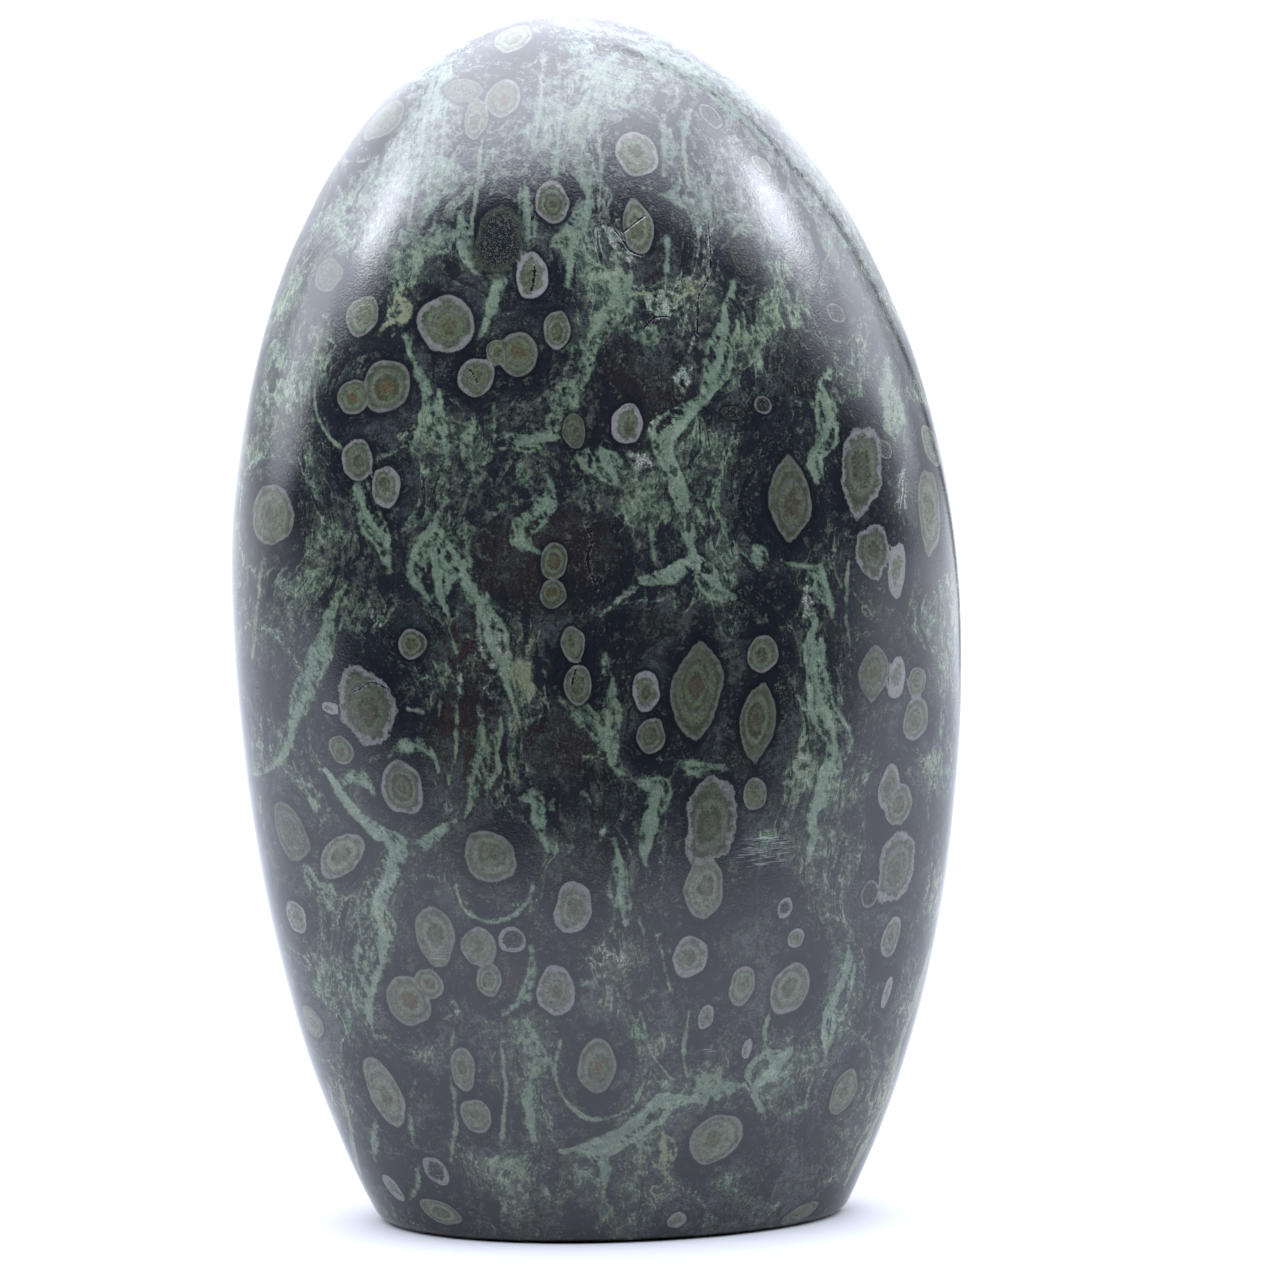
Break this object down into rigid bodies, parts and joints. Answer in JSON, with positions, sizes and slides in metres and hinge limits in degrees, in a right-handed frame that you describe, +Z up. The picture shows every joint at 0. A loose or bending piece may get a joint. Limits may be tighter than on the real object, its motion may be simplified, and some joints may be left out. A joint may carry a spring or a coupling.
{
  "type": "polished kambaba jasper freeform",
  "caption": "Standing egg-like freeform of polished dark green orbicular jasper, flatter from front to back, on a small ground flat spot.",
  "frame": {"origin": "under the middle of the stone's box, on the plane of the ground flat spot", "axes": "+Z up through the stone's height, -Y out of the broad front face, +X to the right of someone looking at the front"},
  "size_m": [0.073, 0.0422, 0.12],
  "materials": {
    "polished_rock": "polished, near-black ground with sage green veins and olive orbs"
  },
  "bodies": {
    "root": {"stone": "polished_rock"}
  },
  "joints": []
}
